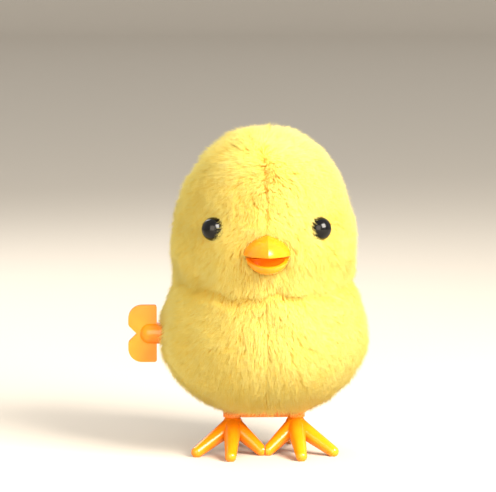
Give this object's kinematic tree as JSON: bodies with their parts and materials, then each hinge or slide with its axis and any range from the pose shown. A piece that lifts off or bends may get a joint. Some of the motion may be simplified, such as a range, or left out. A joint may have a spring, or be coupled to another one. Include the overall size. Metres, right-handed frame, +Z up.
{
  "type": "wind-up hopping chick",
  "caption": "Wind-up hopping chick with a plush cover over a plastic shell, bead eyes, an open beak, a side key and sprung motor, and moulded feet that kick.",
  "frame": {"origin": "on the ground, on the middle plane, where the tips of the two inner toes meet", "axes": "+Z up, -Y the way the chick faces, +X towards its left side; the key is on -X"},
  "size_m": [0.068, 0.0719, 0.093],
  "materials": {
    "plush": "soft pile",
    "shell_plastic": "moulded",
    "orange_plastic": "glossy",
    "eye_black": "glossy",
    "washer_white": "moulded",
    "gear_white": "moulded",
    "steel": "plain",
    "spring_steel": "blued",
    "brass": "turned"
  },
  "bodies": {
    "shell": {"cover_left": "plush", "cover_right": "plush", "shell_left": "shell_plastic", "shell_right": "shell_plastic", "base_plate": "orange_plastic", "base_screws": "steel", "eye_left": "eye_black", "eye_right": "eye_black", "eye_washers": "washer_white", "beak_upper": "orange_plastic", "beak_lower": "orange_plastic", "beak_washer": "washer_white", "motor_plate_left": "steel", "motor_plate_right": "steel", "frame_pillars": "brass", "frame_screws": "steel", "lever_pins": "steel", "mainspring": "spring_steel"},
    "key": {"winding_key": "orange_plastic", "winding_arbor": "steel", "ratchet_wheel": "steel", "main_wheel": "gear_white", "click_spring": "spring_steel"},
    "second_wheel": {"second_gear": "gear_white", "second_axle": "steel"},
    "third_wheel": {"third_gear": "gear_white", "third_axle": "steel"},
    "cams": {"cam_pinion": "gear_white", "cam_shaft": "steel", "cam_left": "gear_white", "cam_right": "gear_white"},
    "feet": {"leg_yoke": "orange_plastic", "foot_left": "orange_plastic", "foot_right": "orange_plastic"}
  },
  "joints": [
    {"name": "key_turn", "type": "hinge", "parent": "shell", "child": "key", "pos_m": [0, 0.0095, 0.0336], "axis": [1, 0, 0], "range_deg": [0, 1530], "deforming": ["mainspring"]},
    {"name": "second_gear_spin", "type": "hinge", "parent": "shell", "child": "second_wheel", "pos_m": [0, 0.01879, 0.02524], "axis": [1, 0, 0], "range_deg": [-6120, 0]},
    {"name": "third_gear_spin", "type": "hinge", "parent": "shell", "child": "third_wheel", "pos_m": [0, 0.00928, 0.02215], "axis": [1, 0, 0], "range_deg": [0, 18360]},
    {"name": "cam_spin", "type": "hinge", "parent": "shell", "child": "cams", "pos_m": [0, 0.00203, 0.02409], "axis": [1, 0, 0], "range_deg": [-36720, 0]},
    {"name": "feet_kick", "type": "hinge", "parent": "shell", "child": "feet", "pos_m": [0, 0.0165, 0.0206], "axis": [1, 0, 0], "range_deg": [-9, 0]}
  ],
  "couplings": [
    {"joint": "second_gear_spin", "follows": "key_turn", "ratio": -4},
    {"joint": "third_gear_spin", "follows": "key_turn", "ratio": 12},
    {"joint": "cam_spin", "follows": "key_turn", "ratio": -24}
  ]
}
